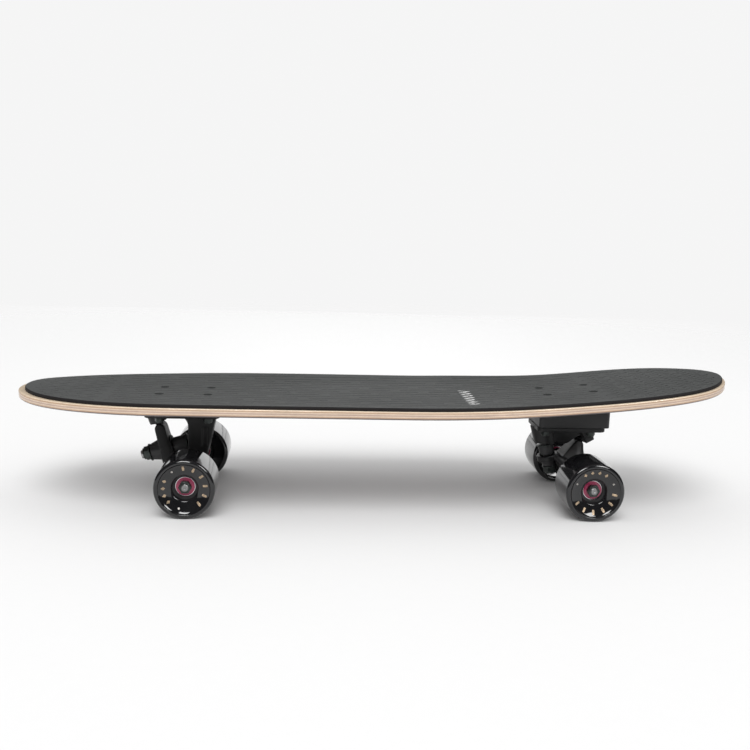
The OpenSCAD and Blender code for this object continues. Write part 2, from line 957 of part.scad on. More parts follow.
core(rear_x, left);  // rear_left_core
outer_races(rear_x, left);  // rear_left_outer_races
shields(rear_x, left);  // rear_left_shields
balls(rear_x, left);  // rear_left_balls
wheel(rear_x, right);  // rear_right_wheel
core(rear_x, right);  // rear_right_core
outer_races(rear_x, right);  // rear_right_outer_races
shields(rear_x, right);  // rear_right_shields
balls(rear_x, right);  // rear_right_balls
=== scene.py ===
import json
import math

import bmesh
import bpy
from mathutils import Matrix, Vector


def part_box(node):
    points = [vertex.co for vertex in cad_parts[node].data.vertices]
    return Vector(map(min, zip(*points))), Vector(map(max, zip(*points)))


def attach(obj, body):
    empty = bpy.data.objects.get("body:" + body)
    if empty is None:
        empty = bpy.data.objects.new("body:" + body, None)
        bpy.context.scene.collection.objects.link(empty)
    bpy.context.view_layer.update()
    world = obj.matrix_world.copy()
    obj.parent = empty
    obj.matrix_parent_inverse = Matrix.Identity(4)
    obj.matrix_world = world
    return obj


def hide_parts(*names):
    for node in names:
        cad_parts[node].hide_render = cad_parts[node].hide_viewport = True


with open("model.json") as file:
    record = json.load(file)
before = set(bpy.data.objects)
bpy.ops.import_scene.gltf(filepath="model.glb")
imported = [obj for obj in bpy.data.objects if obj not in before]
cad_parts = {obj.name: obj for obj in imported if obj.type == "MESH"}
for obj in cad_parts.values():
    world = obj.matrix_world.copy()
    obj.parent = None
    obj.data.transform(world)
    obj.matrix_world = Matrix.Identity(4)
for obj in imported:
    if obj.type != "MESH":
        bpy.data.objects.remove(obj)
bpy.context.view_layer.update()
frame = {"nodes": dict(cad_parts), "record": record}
record = frame["record"]
bodyOf = {node: body for body, nodes in record["behaviour"]["bodies"].items() for node in nodes}
mm = 0.001
sides = {"left": -1, "right": 1}


# shared helpers: nodes and materials
def addNode(tree, kind, inputs=(), **settings):
    made = tree.nodes.new(kind)
    for key, value in settings.items():
        setattr(made, key, value)
    for key, value in dict(inputs).items():
        socket = made.inputs[key]
        if isinstance(value, bpy.types.NodeSocket):
            tree.links.new(value, socket)
        else:
            socket.default_value = value
    return made


def calc(tree, operation, first, second=0.0):
    return addNode(tree, "ShaderNodeMath", {0: first, 1: second}, operation=operation).outputs[0]


def newMaterial(name, shaderLook):
    material = bpy.data.materials.new(name)
    material.use_nodes = True
    shader = material.node_tree.nodes["Principled BSDF"]
    for key, value in shaderLook.items():
        shader.inputs[key].default_value = value
    return material, material.node_tree, shader


def noise(tree, where, scale, detail=3.0, roughness=0.55, stretch=(1, 1, 1)):
    stretched = addNode(tree, "ShaderNodeMapping", {"Vector": where, "Scale": stretch}).outputs[0]
    return addNode(tree, "ShaderNodeTexNoise", {
        "Vector": stretched, "Scale": scale, "Detail": detail, "Roughness": roughness}).outputs["Fac"]


def blendColour(tree, factor, low, high):
    mix = addNode(tree, "ShaderNodeMix", {0: factor}, data_type="RGBA")
    for index, value in ((6, low), (7, high)):
        if isinstance(value, bpy.types.NodeSocket):
            tree.links.new(value, mix.inputs[index])
        else:
            mix.inputs[index].default_value = (*value, 1)
    return mix.outputs[2]


def spreadOf(tree, value, low, high, newLow=0.0, newHigh=1.0):
    return addNode(tree, "ShaderNodeMapRange", {
        "Value": value, "From Min": low, "From Max": high, "To Min": newLow, "To Max": newHigh}).outputs[0]


# a bump from a pattern, of a set height in mm
def addRelief(tree, shader, pattern, height, strength):
    bump = addNode(tree, "ShaderNodeBump", {
        "Strength": strength, "Distance": height * mm, "Height": pattern})
    tree.links.new(bump.outputs[0], shader.inputs["Normal"])


# a finish: two close colours in soft patches, a range of roughness and a fine grain of a set height
def grainedMaterial(name, look):
    material, tree, shader = newMaterial(name, look.get("shader", {}))
    where = addNode(tree, "ShaderNodeTexCoord").outputs["Object"]
    patch = spreadOf(tree, noise(tree, where, look["patch"]), 0.3, 0.7)
    fine = noise(tree, where, look["grain"], 4.0, 0.6, look.get("stretch", (1, 1, 1)))
    colour = blendColour(tree, patch, look["dark"], look["light"])
    tree.links.new(colour, shader.inputs["Base Color"])
    rough = spreadOf(tree, calc(tree, "ADD", patch, fine), 0.6, 1.4, look["rough"][0], look["rough"][1])
    tree.links.new(rough, shader.inputs["Roughness"])
    addRelief(tree, shader, fine, look["height"], 1.0)
    return material


# shared helpers: meshes
def newPiece(name, mesh, material=None):
    piece = bpy.data.objects.new(name, mesh)
    bpy.context.scene.collection.objects.link(piece)
    if material:
        mesh.materials.clear()
        mesh.materials.append(material)
    return piece


def meshFrom(name, points, faces):
    mesh = bpy.data.meshes.new(name)
    mesh.from_pydata([tuple(p) for p in points], [], faces)
    work = bmesh.new()
    work.from_mesh(mesh)
    bmesh.ops.remove_doubles(work, verts=work.verts, dist=0.001 * mm)
    bmesh.ops.dissolve_degenerate(work, edges=work.edges, dist=0.0005 * mm)
    bmesh.ops.recalc_face_normals(work, faces=work.faces)
    work.to_mesh(mesh)
    work.free()
    return mesh


def smoothByAngle(mesh, degrees):
    work = bmesh.new()
    work.from_mesh(mesh)
    for face in work.faces:
        face.smooth = True
    for edge in work.edges:
        edge.smooth = len(edge.link_faces) == 2 and edge.calc_face_angle(0) < math.radians(degrees)
    work.to_mesh(mesh)
    work.free()


def arc(centre, radius, start, end, steps):
    turns = [math.radians(start + (end - start) * i / steps) for i in range(steps + 1)]
    return [(centre[0] + radius * math.cos(t), centre[1] + radius * math.sin(t)) for t in turns]


# a closed profile of (radius, height) in mm, turned round an axis
def lathed(name, profile, origin, direction, segments=96, material=None, angle=32):
    turn = Vector(direction).to_track_quat("Z", "Y")
    count = len(profile)
    points = []
    for i in range(segments):
        a = 2 * math.pi * i / segments
        points += [Vector(origin) + turn @ Vector((r * mm * math.cos(a), r * mm * math.sin(a), h * mm))
                   for r, h in profile]
    faces = []
    for i in range(segments):
        j = (i + 1) % segments
        faces += [(i * count + k, j * count + k, j * count + (k + 1) % count, i * count + (k + 1) % count)
                  for k in range(count)]
    mesh = meshFrom(name, points, faces)
    smoothByAngle(mesh, angle)
    return newPiece(name, mesh, material)


# a plain tube's profile with its corners broken
def tubeProfile(inner, outer, low, high, edge=0.25):
    return [(inner, low + edge), (inner + edge, low), (outer - edge, low), (outer, low + edge),
            (outer, high - edge), (outer - edge, high), (inner + edge, high), (inner, high - edge)]


def joined(name, pieces, material=None):
    work = bmesh.new()
    for piece in pieces:
        work.from_mesh(piece.data)
        bpy.data.objects.remove(piece)
    mesh = bpy.data.meshes.new(name)
    work.to_mesh(mesh)
    work.free()
    return newPiece(name, mesh, material)


def mergedCopy(name, node):
    mesh = frame["nodes"][node].data.copy()
    work = bmesh.new()
    work.from_mesh(mesh)
    bmesh.ops.remove_doubles(work, verts=work.verts, dist=0.002 * mm)
    bmesh.ops.dissolve_limit(work, angle_limit=math.radians(1), verts=work.verts, edges=work.edges)
    work.to_mesh(mesh)
    work.free()
    for attribute in [a.name for a in mesh.attributes if a.name == "custom_normal"]:
        mesh.attributes.remove(mesh.attributes[attribute])
    return newPiece(name, mesh)


def applyModifiers(piece):
    graph = bpy.context.evaluated_depsgraph_get()
    mesh = bpy.data.meshes.new_from_object(piece.evaluated_get(graph))
    piece.modifiers.clear()
    piece.data = mesh


def settle(piece, node, *alsoReplaced):
    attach(piece, bodyOf[node])
    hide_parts(node, *alsoReplaced)


# a machined or moulded copy of a CAD node with its edges broken
def brokenEdges(node, material, width, segments=2):
    piece = mergedCopy(node + ".piece", node)
    piece.data.materials.clear()
    piece.data.materials.append(material)
    sharp = 38  # degrees between faces that counts as an edge
    bevel = piece.modifiers.new("edges", "BEVEL")
    bevel.width = width * mm
    bevel.segments = segments
    bevel.limit_method = "ANGLE"
    bevel.angle_limit = math.radians(sharp)
    bevel.use_clamp_overlap = True
    applyModifiers(piece)
    smoothByAngle(piece.data, sharp)
    settle(piece, node)


# shared helpers: geometry nodes
def startTree(name, sizes):
    tree = bpy.data.node_groups.new(name, "GeometryNodeTree")
    tree.interface.new_socket("Geometry", in_out="INPUT", socket_type="NodeSocketGeometry")
    for label, kind in sizes.items():
        tree.interface.new_socket(label, in_out="INPUT", socket_type="NodeSocket" + kind)
    tree.interface.new_socket("Geometry", in_out="OUTPUT", socket_type="NodeSocketGeometry")
    return tree, tree.nodes.new("NodeGroupInput").outputs, tree.nodes.new("NodeGroupOutput")


def endTree(tree, geometry, material, out):
    whole = addNode(tree, "GeometryNodeRealizeInstances", {"Geometry": geometry}).outputs[0]
    coloured = addNode(tree, "GeometryNodeSetMaterial", {"Geometry": whole, "Material": material})
    tree.links.new(coloured.outputs[0], out.inputs[0])


def runTree(carrier, tree, values):
    modifier = carrier.modifiers.new(tree.name, "NODES")
    modifier.node_group = tree
    for item in tree.interface.items_tree:
        if item.in_out == "INPUT" and item.name in values:
            modifier[item.identifier] = values[item.name]
    graph = bpy.context.evaluated_depsgraph_get()
    mesh = bpy.data.meshes.new_from_object(carrier.evaluated_get(graph))
    carrier.modifiers.remove(modifier)
    return mesh


def axes(tree, vector):
    return addNode(tree, "ShaderNodeSeparateXYZ", {0: vector}).outputs


def vectorOf(tree, x=0.0, y=0.0, z=0.0):
    return addNode(tree, "ShaderNodeCombineXYZ", {0: x, 1: y, 2: z}).outputs[0]


def geometryOf(tree, thing):
    return addNode(tree, "GeometryNodeObjectInfo", {"Object": thing}).outputs["Geometry"]


def position(tree):
    return axes(tree, addNode(tree, "GeometryNodeInputPosition").outputs[0])


# what a ray that drops from a set height through each point meets on a mesh
def rayDown(tree, target, fromHeight, reach):
    here = position(tree)
    return addNode(tree, "GeometryNodeRaycast", {
        "Target Geometry": target, "Source Position": vectorOf(tree, here[0], here[1], fromHeight),
        "Ray Direction": (0, 0, -1), "Ray Length": reach}).outputs


def shifted(tree, geometry, offset):
    return addNode(tree, "GeometryNodeSetPosition", {"Geometry": geometry, "Offset": offset}).outputs[0]


def without(tree, geometry, selection, domain="POINT"):
    return addNode(tree, "GeometryNodeDeleteGeometry", {
        "Geometry": geometry, "Selection": selection}, domain=domain).outputs[0]


# camera: place in metres, angles in degrees, lens in mm
cameraLook = {
    "place": (-0.08098, -1.05632, 0.32537), "yaw": 4.12, "pitch": 9.84, "roll": 1.72, "lens": 44.49,
}


def makeCamera(look):
    yaw, pitch, roll = (math.radians(look[key]) for key in ("yaw", "pitch", "roll"))
    ahead = Vector((math.sin(yaw) * math.cos(pitch), math.cos(yaw) * math.cos(pitch), -math.sin(pitch)))
    level = Vector((math.cos(yaw), -math.sin(yaw), 0))
    up = level.cross(ahead)
    across = math.cos(roll) * level + math.sin(roll) * up
    up = math.cos(roll) * up - math.sin(roll) * level
    camera = bpy.data.objects.new("camera", bpy.data.cameras.new("camera"))
    camera.data.lens = look["lens"]
    camera.data.clip_end = 50
    turn = Matrix((across, up, -ahead)).transposed().to_4x4()
    camera.matrix_world = Matrix.Translation(look["place"]) @ turn
    bpy.context.scene.collection.objects.link(camera)
    bpy.context.scene.camera = camera


makeCamera(cameraLook)
bpy.context.scene.view_settings.view_transform = "Standard"

# studio: a pale floor that fades into a pale surround, an even dome and a few soft panels
studio = {
    "surround": 0.915, "dome": 0.79, "glossDome": 0.035,
    "floorColour": 0.8, "fadeFrom": 1.0, "fadeTo": 2.4, "floorRadius": 3.0, "floorLevel": -0.0002,
    # a wide soft key from the viewer's side: strength, then height, turn and glow in degrees
    "key": (1.6, 56, -6, 40),
    # name: place, target, width, height, strength in watts per square metre, only seen in gloss
    "panels": {
        "overhead": ((0.1, -0.1, 2.4), (0, 0, 0), 2.6, 1.4, 0.9, False),
        "backdrop": ((0.1, 2.0, 0.72), (0.1, 0, 0.4), 1.1, 1.0, 4.6, True),
        "backLow": ((0.0, 2.02, 0.1), (0, 0, 0.1), 3.6, 0.2, 3.6, True),
        "softLeft": ((-0.42, -1.3, 1.42), (0, 0, 0.05), 0.75, 0.8, 42.0, True),
        "softRight": ((1.05, -1.25, 1.22), (0, 0, 0.05), 0.7, 0.8, 42.0, True),
    },
}


def makePanel(name, place, target, width, height, strength, glossOnly):
    light = bpy.data.lights.new(name, "AREA")
    light.shape = "RECTANGLE"
    light.size = width
    light.size_y = height
    light.energy = strength * width * height
    lamp = bpy.data.objects.new(name, light)
    lamp.location = place
    lamp.rotation_euler = (Vector(target) - Vector(place)).to_track_quat("-Z", "Y").to_euler()
    lamp.visible_camera = False
    lamp.visible_diffuse = not glossOnly
    bpy.context.scene.collection.objects.link(lamp)


def makeKey(strength, height, turn, glow):
    light = bpy.data.lights.new("key", "SUN")
    light.energy = strength
    light.angle = math.radians(glow)
    lamp = bpy.data.objects.new("key", light)
    lamp.rotation_euler = (math.radians(90 - height), 0, math.radians(turn))
    lamp.visible_glossy = False
    bpy.context.scene.collection.objects.link(lamp)


def makeStudio(look):
    world = bpy.data.worlds.new("studio")
    world.use_nodes = True
    tree = world.node_tree
    path = addNode(tree, "ShaderNodeLightPath").outputs
    shade = blendColour(tree, path["Is Diffuse Ray"], [look["glossDome"]] * 3, [look["dome"]] * 3)
    shade = blendColour(tree, path["Is Camera Ray"], shade, [look["surround"]] * 3)
    tree.links.new(shade, tree.nodes["Background"].inputs["Color"])
    bpy.context.scene.world = world
    makeKey(*look["key"])
    for name, values in look["panels"].items():
        makePanel(name, *values)
    material, tree, shader = newMaterial("studioFloor", {"Roughness": 0.75, "Specular IOR Level": 0.2})
    where = addNode(tree, "ShaderNodeTexCoord").outputs["Object"]
    speck = noise(tree, where, 90.0)
    colour = blendColour(tree, speck, [look["floorColour"]] * 3, [look["floorColour"] * 1.015] * 3)
    tree.links.new(colour, shader.inputs["Base Color"])
    reach = addNode(tree, "ShaderNodeVectorMath", {0: where}, operation="LENGTH").outputs["Value"]
    gone = spreadOf(tree, reach, look["fadeFrom"], look["fadeTo"])
    clear = addNode(tree, "ShaderNodeBsdfTransparent")
    mixed = addNode(tree, "ShaderNodeMixShader", {0: gone, 1: shader.outputs[0], 2: clear.outputs[0]})
    tree.links.new(mixed.outputs[0], tree.nodes["Material Output"].inputs["Surface"])
    corners, radius, level = 64, look["floorRadius"], look["floorLevel"]
    turns = [2 * math.pi * i / corners for i in range(corners)]
    edge = [(radius * math.cos(t), radius * math.sin(t), level) for t in turns]
    mesh = bpy.data.meshes.new("floor")
    mesh.from_pydata(edge, [], [tuple(range(corners))])
    newPiece("floor", mesh, material)


makeStudio(studio)
print("studio and camera made")

# board surface: the same curves as the CAD deck, in metres, sized from the deck's box
deckLow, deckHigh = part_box("deck")
boardShape = {
    "tailWidth": 0.190, "nosePower": (4, 2.14), "tailPower": (4, 1.83), "hip": (0.080, 0.227),
    "tailStart": 0.200, "concaveRise": 0.0057, "concaveFlat": 0.045, "kickRadius": 2.25,
    "noseKick": 0.176, "tailKick": 0.381, "under": 0.1065,
}


def superellipse(t, power):
    return max(0.0, 1 - min(1.0, max(0.0, t)) ** power[0]) ** (1 / power[1])


def halfWidth(x, side, nose, tail):
    shape = boardShape
    wide = deckHigh.y - side
    narrow = shape["tailWidth"] / 2 - side
    t = min(1.0, max(0.0, (x - shape["hip"][0]) / (shape["hip"][1] - shape["hip"][0])))
    if x < 0:
        return wide * superellipse(-x / (-deckLow.x - nose), shape["nosePower"])
    body = wide + (narrow - wide) * t * t * (3 - 2 * t)
    end = deckHigh.x - tail
    return body * superellipse((x - shape["tailStart"]) / (end - shape["tailStart"]), shape["tailPower"])


def under(x, y):
    shape = boardShape
    rise = max(0.0, deckLow.x + shape["noseKick"] - x, x - deckHigh.x + shape["tailKick"])
    bend = max(0.0, abs(y) - shape["concaveFlat"]) / (deckHigh.y - shape["concaveFlat"])
    return shape["under"] + rise ** 2 / (2 * shape["kickRadius"]) + shape["concaveRise"] * bend ** 2


# right-hand half of an outline, nose to tail, moved in along its normals
def outlinePoints(side, nose, tail, inset, count):
    low, high = deckLow.x + nose, deckHigh.x - tail
    xs = [(low + high) / 2 - (high - low) / 2 * math.cos(math.pi * i / count) for i in range(count + 1)]
    line = [Vector((x, halfWidth(x, side, nose, tail), 0)) for x in xs]
    moved = []
    for i, point in enumerate(line):
        before = line[i - 1] if i else Vector((line[1].x, -line[1].y, 0))
        after = line[i + 1] if i < count else Vector((line[-2].x, -line[-2].y, 0))
        along = (after - before).normalized()
        moved.append(point - inset * Vector((-along.y, along.x, 0)))
    moved[0].y = moved[-1].y = 0
    return moved


# a closed layer of the board: rings round its edge, then rows across its two faces
def boardLayer(name, margins, bottom, top, edge, count=150, across=28, arcSteps=4):
    lowEdge, highEdge = edge
    # how far in from the outline, and how high above the wood's underside
    ringSpots = arc((lowEdge, bottom + lowEdge), lowEdge, 270, 180, arcSteps)
    ringSpots += arc((highEdge, top - highEdge), highEdge, 180, 90, arcSteps)
    flatSteps = 6
    low, high = ringSpots[arcSteps], ringSpots[arcSteps + 1]
    between = [(0.0, low[1] + (high[1] - low[1]) * i / flatSteps) for i in range(1, flatSteps)]
    ringSpots = ringSpots[:arcSteps + 1] + between + ringSpots[arcSteps + 1:]
    points, depths, rings = [], [], []
    for inset, height in ringSpots:
        half = outlinePoints(*margins, inset, count)
        loop = half + [Vector((p.x, -p.y, 0)) for p in half[-2:0:-1]]
        rings.append(range(len(points), len(points) + len(loop)))
        points += [Vector((p.x, p.y, under(p.x, p.y) + height)) for p in loop]
        depths += [(height - bottom) / (top - bottom)] * len(loop)
    faces = []
    size = 2 * count
    for lower, upper in zip(rings, rings[1:]):
        faces += [(lower[i], lower[(i + 1) % size], upper[(i + 1) % size], upper[i]) for i in range(size)]
    for ring, height, depth in ((rings[0], bottom, 0.0), (rings[-1], top, 1.0)):
        rows = [[ring[0]] * (across + 1)]
        for i in range(1, count):
            right, left = points[ring[i]], points[ring[size - i]]
            row = [ring[i]]
            for k in range(1, across):
                p = right.lerp(left, k / across)
                row.append(len(points))
                points.append(Vector((p.x, p.y, under(p.x, p.y) + height)))
                depths.append(depth)
            rows.append(row + [ring[size - i]])
        rows.append([ring[count]] * (across + 1))
        for before, after in zip(rows, rows[1:]):
            for k in range(across):
                corners = [before[k], after[k], after[k + 1], before[k + 1]]
                corners = [c for i, c in enumerate(corners) if c not in corners[:i]]
                if len(corners) > 2:
                    faces.append(tuple(corners))
    mesh = bpy.data.meshes.new(name)
    mesh.from_pydata([tuple(p) for p in points], [], faces)
    attribute = mesh.attributes.new("plyDepth", "FLOAT", "POINT")
    attribute.data.foreach_set("value", depths)
    work = bmesh.new()
    work.from_mesh(mesh)
    bmesh.ops.recalc_face_normals(work, faces=work.faces)
    work.to_mesh(mesh)
    work.free()
    return newPiece(name, mesh)


def cutWith(piece, cutter, solver="EXACT"):
    cut = piece.modifiers.new("cut", "BOOLEAN")
    cut.operation = "DIFFERENCE"
    cut.solver = solver
    cut.object = cutter
    applyModifiers(piece)
    bpy.data.objects.remove(cutter)


# the bolt heads' radius in mm, and each cutter's outline as (radius, height from the head's top)
boltHoles = {
    "head": 4.7,
    "deck": [(0, -20), (2.6, -20), (2.6, -2.6), (4.9, 0.05), (4.9, 12), (0, 12)],
    "pad": [(0, -6), (5.2, -6), (5.2, 12), (0, 12)],
}


# the eight bolt places, from the mounting bolts' own boxes
def boltPlaces():
    places = []
    head = boltHoles["head"] * mm
    for end in ("front", "rear"):
        low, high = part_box(end + "_mount_bolts")
        for x in (low.x + head, high.x - head):
            places += [(x, y, high.z) for y in (low.y + head, high.y - head)]
    return places


def boltCutter(profile):
    drills = [lathed("drill", profile, place, (0, 0, 1), segments=40) for place in boltPlaces()]
    return joined("drills", drills)


# deck
deckLook = {
    "thick": 9, "edge": (2.2, 1.4), "plies": 7, "bottomPly": 0.16, "topPly": 0.86, "glue": 0.10,
    "wobble": 0.006, "grain": 26.0, "pores": 420.0, "relief": 0.08, "sharp": 40,
    "cream": (0.70, 0.56, 0.43), "peach": (0.52, 0.34, 0.22), "pink": (0.52, 0.38, 0.34),
    "glueLine": (0.22, 0.13, 0.10), "faceVeneer": (0.72, 0.58, 0.43), "bottomStain": (0.15, 0.12, 0.115),
    "shader": {"Coat Weight": 0.55, "Coat Roughness": 0.12, "Roughness": 0.42},
}


def plyMaterial(look):
    material, tree, shader = newMaterial("plyWood", look["shader"])
    where = addNode(tree, "ShaderNodeTexCoord").outputs["Object"]
    depth = addNode(tree, "ShaderNodeAttribute", attribute_name="plyDepth").outputs["Fac"]
    wobble = spreadOf(tree, noise(tree, where, 9.0, 2.0), 0.3, 0.7, -look["wobble"], look["wobble"])
    depth = calc(tree, "ADD", depth, wobble)
    ply = calc(tree, "MULTIPLY", depth, float(look["plies"]))
    layer = calc(tree, "FLOOR", ply)
    within = calc(tree, "FRACT", ply)
    odd = calc(tree, "MODULO", layer, 2.0)
    middle = calc(tree, "COMPARE", layer, float(look["plies"] // 2))
    tree.nodes[-1].inputs[2].default_value = 0.5  # how near counts as the same
    streak = noise(tree, where, look["grain"], 5.0, 0.65, (1.2, 9, 9))
    pores = noise(tree, where, look["pores"], 2.0, 0.5, (1, 1, 2))
    colour = blendColour(tree, odd, look["cream"], look["peach"])
    colour = blendColour(tree, calc(tree, "MULTIPLY", middle, 0.6), colour, look["pink"])
    glue = calc(tree, "LESS_THAN", within, look["glue"])
    colour = blendColour(tree, calc(tree, "MULTIPLY", glue, 0.55), colour, look["glueLine"])
    top = calc(tree, "GREATER_THAN", depth, look["topPly"])
    colour = blendColour(tree, top, colour, look["faceVeneer"])
    bottom = calc(tree, "LESS_THAN", depth, look["bottomPly"])
    colour = blendColour(tree, bottom, colour, look["bottomStain"])
    figure = calc(tree, "ADD", streak, calc(tree, "MULTIPLY", pores, 0.5))
    tone = spreadOf(tree, figure, 0.45, 1.05, 0.78, 1.1)
    grained = addNode(tree, "ShaderNodeMix", {0: 1.0}, data_type="RGBA", blend_type="MULTIPLY")
    tree.links.new(colour, grained.inputs[6])
    grey = addNode(tree, "ShaderNodeCombineColor", {0: tone, 1: tone, 2: tone}).outputs[0]
    tree.links.new(grey, grained.inputs[7])
    tree.links.new(grained.outputs[2], shader.inputs["Base Color"])
    relief = calc(tree, "ADD", calc(tree, "MULTIPLY", streak, 0.6), calc(tree, "MULTIPLY", glue, -0.35))
    addRelief(tree, shader, relief, look["relief"], 0.5)
    return material


def makeDeck(look):
    edge = [r * mm for r in look["edge"]]
    deck = boardLayer("deck.wood", (0, 0, 0), 0.0, look["thick"] * mm, edge)
    cutWith(deck, boltCutter(boltHoles["deck"]))
    deck.data.materials.clear()
    deck.data.materials.append(plyMaterial(look))
    smoothByAngle(deck.data, look["sharp"])
    settle(deck, "deck")
    print("deck made,", len(deck.data.polygons), "faces")


makeDeck(deckLook)

# foam pad with milled grooves: margins at the sides, the nose and the tail, then the edges' rounding
padLook = {
    "thick": 4, "margins": (4.5, 7, 3), "edge": (0.3, 1.5), "sharp": 35,
    "light": (0.077, 0.080, 0.079), "dark": (0.058, 0.061, 0.060),
    "grain": 900.0, "fine": 300.0, "relief": 0.12,
    # the dark cut side takes every face that leans more than this
    "wall": (0.016, 0.014, 0.015), "wallSlope": 0.93,
    "mark": {"silver": (0.72, 0.72, 0.71), "from": -63, "to": 23, "at": 97, "tooth": 6.0, "height": 11,
             "width": 1.7},
    "fieldInset": 6.0, "fieldHalf": 106,
    # three fields of grooves: start and end along the board in mm, row pitch, wave, dash and gap
    "fields": {
        "nose": {"Start": -385, "End": -308, "Step": 2, "Row Pitch": 10, "Cut": 1.1,
                 "Wave Length": 34, "Wave Height": 1.2, "Dash": 22, "Gap": 6, "Stagger": 0.5},
        "middle": {"Start": -300, "End": 246, "Step": 3, "Row Pitch": 11, "Cut": 1.05,
                   "Wave Length": 600, "Wave Height": 0.4, "Dash": 84, "Gap": 9, "Stagger": 0.37},
        "tail": {"Start": 254, "End": 392, "Step": 1.25, "Row Pitch": 9.5, "Cut": 1.0,
                 "Wave Length": 15, "Wave Height": 2.2, "Dash": 45, "Gap": 7.5, "Stagger": 0.5},
    },
}


def foamMaterial(name, look):
    material, tree, shader = newMaterial(name, {
        "Specular IOR Level": 0.16, "Sheen Weight": 0.05, "Sheen Roughness": 0.5})
    where = addNode(tree, "ShaderNodeTexCoord").outputs["Object"]
    cells = addNode(tree, "ShaderNodeTexVoronoi", {
        "Vector": where, "Scale": look["grain"]}).outputs["Distance"]
    fine = noise(tree, where, look["fine"], 3.0)
    patch = spreadOf(tree, noise(tree, where, 7.0, 2.0), 0.3, 0.7)
    colour = blendColour(tree, patch, look["dark"], look["light"])
    speck = spreadOf(tree, cells, 0.1, 0.8)
    speck = calc(tree, "MULTIPLY", speck, 0.25)
    colour = blendColour(tree, speck, colour, [c * 0.5 for c in look["dark"]])
    colour = blendColour(tree, markMask(tree, where, look["mark"]), colour, look["mark"]["silver"])
    tree.links.new(colour, shader.inputs["Base Color"])
    tree.links.new(spreadOf(tree, fine, 0.3, 0.7, 0.62, 0.8), shader.inputs["Roughness"])
    texture = calc(tree, "ADD", calc(tree, "MULTIPLY", cells, 0.5), fine)
    addRelief(tree, shader, texture, look["relief"], 0.9)
    return material


# a plain printed zigzag across the pad
def markMask(tree, where, mark):
    x, y, _ = axes(tree, where)
    along = calc(tree, "DIVIDE", calc(tree, "SUBTRACT", y, mark["from"] * mm), mark["tooth"] * mm)
    tooth = calc(tree, "PINGPONG", along, 1.0)
    line = calc(tree, "ADD", calc(tree, "MULTIPLY", tooth, mark["height"] * mm), mark["at"] * mm)
    offset = calc(tree, "ABSOLUTE", calc(tree, "SUBTRACT", x, line))
    zigzag = calc(tree, "LESS_THAN", offset, mark["width"] * mm)
    past = calc(tree, "GREATER_THAN", y, mark["from"] * mm)
    before = calc(tree, "LESS_THAN", y, mark["to"] * mm)
    return calc(tree, "MULTIPLY", calc(tree, "MULTIPLY", past, before), zigzag)


# rows of ball-nosed cuts that follow the pad's top inside its outline
def grooveTree():
    kinds = {"Field": "Object", "Surface": "Object", "Material": "Material", "Rows": "Int", "Points": "Int",
             "Start": "Float", "Step": "Float", "Row Pitch": "Float", "Wave Length": "Float",
             "Wave Height": "Float", "Dash": "Float", "Gap": "Float", "Stagger": "Float", "Cut": "Float"}
    tree, given, out = startTree("padGrooves", kinds)
    halfRows = calc(tree, "MULTIPLY", calc(tree, "SUBTRACT", given["Rows"], 1.0), 0.5)
    lowest = calc(tree, "MULTIPLY", calc(tree, "MULTIPLY", halfRows, given["Row Pitch"]), -1.0)
    line = addNode(tree, "GeometryNodeMeshLine", {
        "Count": given["Points"], "Start Location": vectorOf(tree, given["Start"]),
        "Offset": vectorOf(tree, given["Step"])})
    rows = addNode(tree, "GeometryNodeMeshLine", {
        "Count": given["Rows"], "Start Location": vectorOf(tree, 0.0, lowest),
        "Offset": vectorOf(tree, 0.0, given["Row Pitch"])})
    placed = addNode(tree, "GeometryNodeInstanceOnPoints", {
        "Points": rows.outputs[0], "Instance": line.outputs[0]}).outputs[0]
    lines = addNode(tree, "GeometryNodeRealizeInstances", {"Geometry": placed}).outputs[0]
    spot = position(tree)
    row = calc(tree, "ROUND", calc(tree, "DIVIDE", spot[1], given["Row Pitch"]))
    whole = calc(tree, "ADD", given["Dash"], given["Gap"])
    stagger = calc(tree, "MULTIPLY", row, given["Stagger"])
    phase = calc(tree, "ADD", calc(tree, "DIVIDE", spot[0], whole), stagger)
    share = calc(tree, "DIVIDE", given["Dash"], whole)
    # fifty whole dashes are added so that the phase is never below zero
    inGap = calc(tree, "GREATER_THAN", calc(tree, "FRACT", calc(tree, "ADD", phase, 50.0)), share)
    dashes = without(tree, lines, inGap)
    angle = calc(tree, "MULTIPLY", calc(tree, "DIVIDE", spot[0], given["Wave Length"]), 2 * math.pi)
    swing = calc(tree, "MULTIPLY", calc(tree, "SINE", angle), given["Wave Height"])
    waved = shifted(tree, dashes, vectorOf(tree, 0.0, swing))
    inField = rayDown(tree, geometryOf(tree, given["Field"]), 1.0, 2.0)["Is Hit"]
    outside = addNode(tree, "FunctionNodeBooleanMath", {0: inField}, operation="NOT").outputs[0]
    kept = without(tree, waved, outside)
    curves = addNode(tree, "GeometryNodeMeshToCurve", {"Mesh": kept}).outputs[0]
    length = addNode(tree, "GeometryNodeSplineLength").outputs["Point Count"]
    short = addNode(tree, "FunctionNodeCompare", {2: length, 3: 3},
                    data_type="INT", operation="LESS_THAN").outputs[0]
    long = without(tree, curves, short, "CURVE")
    upright = addNode(tree, "GeometryNodeSetCurveNormal", {"Curve": long}, mode="Z_UP").outputs[0]
    ball = addNode(tree, "GeometryNodeCurvePrimitiveCircle", {"Resolution": 8, "Radius": given["Cut"]})
    swept = addNode(tree, "GeometryNodeCurveToMesh", {
        "Curve": upright, "Profile Curve": ball.outputs[0], "Fill Caps": True}).outputs[0]
    hit = rayDown(tree, geometryOf(tree, given["Surface"]), 1.0, 2.0)["Hit Position"]
    laid = shifted(tree, swept, vectorOf(tree, 0.0, 0.0, axes(tree, hit)[2]))
    endTree(tree, laid, given["Material"], out)
    return tree


